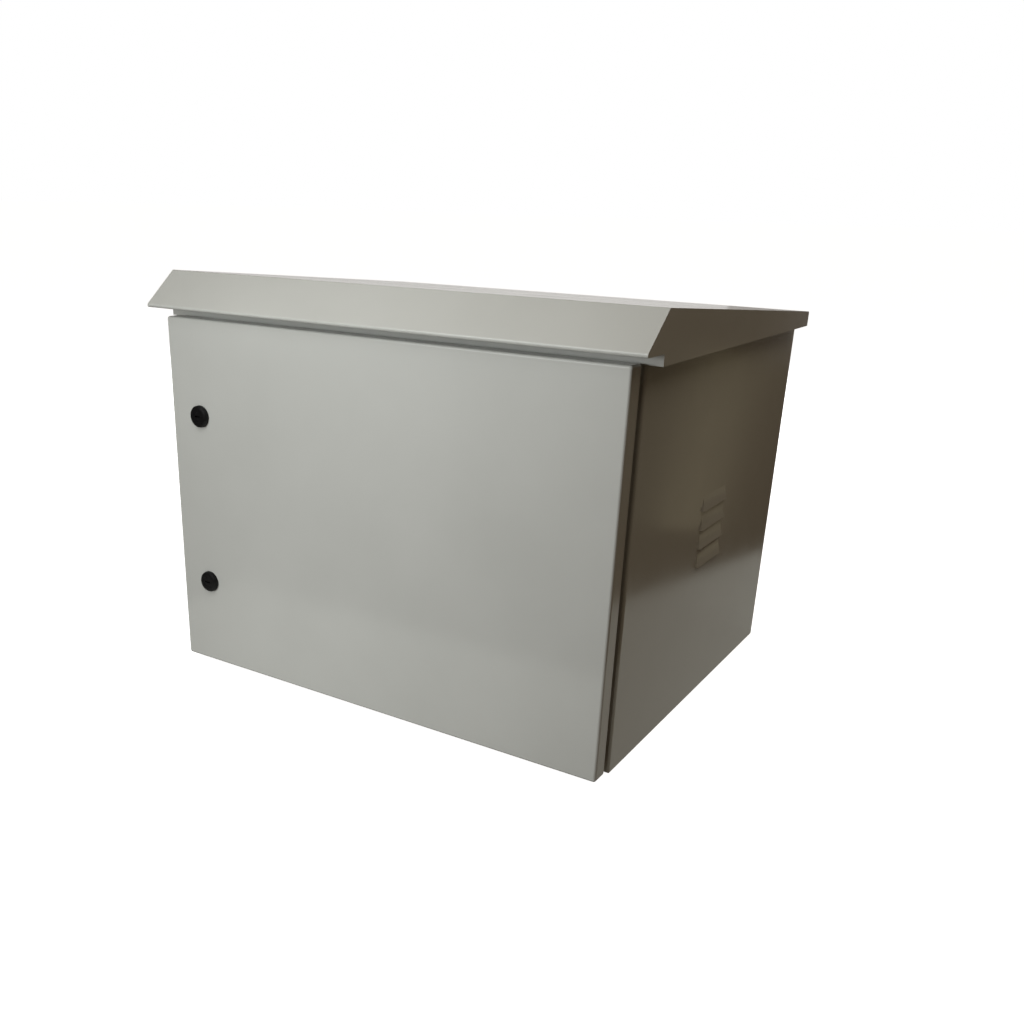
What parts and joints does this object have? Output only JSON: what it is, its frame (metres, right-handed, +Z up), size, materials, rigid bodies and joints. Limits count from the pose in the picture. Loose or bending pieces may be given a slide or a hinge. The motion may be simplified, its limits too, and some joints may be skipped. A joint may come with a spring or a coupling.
{
  "type": "outdoor wall-mount rack cabinet",
  "caption": "Grey sheet-steel outdoor wall cabinet for 19-inch equipment: hinged front door with quarter-turn locks, louvred sides and a sloped rain hood with a front fascia.",
  "frame": {"origin": "centre of the four wall fixing holes, on the wall plane at the back of the cabinet", "axes": "+X to the right seen from the front, +Y into the wall, +Z up; the door faces -Y"},
  "size_m": [0.6372, 0.5467, 0.4929],
  "materials": {
    "shell_paint": "semi-gloss light grey powder coat",
    "zinc_plated_steel": "bright zinc plating",
    "rail_steel": "galvanised sheet",
    "lock_black": "black glass-filled polyamide",
    "seal_rubber": "black rubber",
    "seal_foam": "black cast polyurethane foam seal",
    "filter_fleece": "white filter fleece"
  },
  "bodies": {
    "cabinet": {"side_panel_left": "shell_paint", "side_panel_right": "shell_paint", "top_panel": "shell_paint", "bottom_panel": "shell_paint", "rear_panel": "shell_paint", "wall_strip_upper": "shell_paint", "wall_strip_lower": "shell_paint", "roof_hood": "shell_paint", "roof_bearer_left": "shell_paint", "roof_bearer_right": "shell_paint", "roof_bolts": "zinc_plated_steel", "roof_weld_nuts": "zinc_plated_steel", "rail_support_upper_left": "shell_paint", "rail_support_upper_right": "shell_paint", "rail_support_lower_left": "shell_paint", "rail_support_lower_right": "shell_paint", "rack_rail_front_left": "rail_steel", "rack_rail_front_right": "rail_steel", "rack_rail_rear_left": "rail_steel", "rack_rail_rear_right": "rail_steel", "rail_bolts": "zinc_plated_steel", "rail_nuts": "zinc_plated_steel", "filter_frame_left": "shell_paint", "filter_frame_right": "shell_paint", "filter_mat_left": "filter_fleece", "filter_mat_right": "filter_fleece", "filter_studs": "zinc_plated_steel", "filter_nuts": "zinc_plated_steel", "gland_plate": "rail_steel", "gland_gasket": "seal_rubber", "gland_studs": "zinc_plated_steel", "gland_nuts": "zinc_plated_steel", "cable_grommets": "seal_rubber", "earth_stud": "zinc_plated_steel", "earth_nut": "zinc_plated_steel", "hinge_bracket_upper": "zinc_plated_steel", "hinge_bracket_lower": "zinc_plated_steel", "hinge_pin_upper": "zinc_plated_steel", "hinge_pin_lower": "zinc_plated_steel"},
    "door": {"door_panel": "shell_paint", "door_gasket": "seal_foam", "door_earth_stud": "zinc_plated_steel", "door_earth_nut": "zinc_plated_steel", "hinge_leaf_upper": "zinc_plated_steel", "hinge_leaf_lower": "zinc_plated_steel", "lock_body_upper": "lock_black", "lock_body_lower": "lock_black", "lock_nut_upper": "zinc_plated_steel", "lock_nut_lower": "zinc_plated_steel"},
    "lock_rotor_upper": {"lock_core_upper": "lock_black", "lock_cam_upper": "zinc_plated_steel", "cam_bolt_upper": "zinc_plated_steel"},
    "lock_rotor_lower": {"lock_core_lower": "lock_black", "lock_cam_lower": "zinc_plated_steel", "cam_bolt_lower": "zinc_plated_steel"}
  },
  "joints": [
    {"name": "door_hinge", "type": "hinge", "parent": "cabinet", "child": "door", "pos_m": [0.292, -0.522, 0], "axis": [0, 0, 1], "range_deg": [0, 110]},
    {"name": "lock_turn_upper", "type": "hinge", "parent": "door", "child": "lock_rotor_upper", "pos_m": [-0.253, -0.5, 0.1032], "axis": [0, 1, 0], "range_deg": [0, 90]},
    {"name": "lock_turn_lower", "type": "hinge", "parent": "door", "child": "lock_rotor_lower", "pos_m": [-0.253, -0.5, -0.109], "axis": [0, 1, 0], "range_deg": [0, 90]}
  ]
}
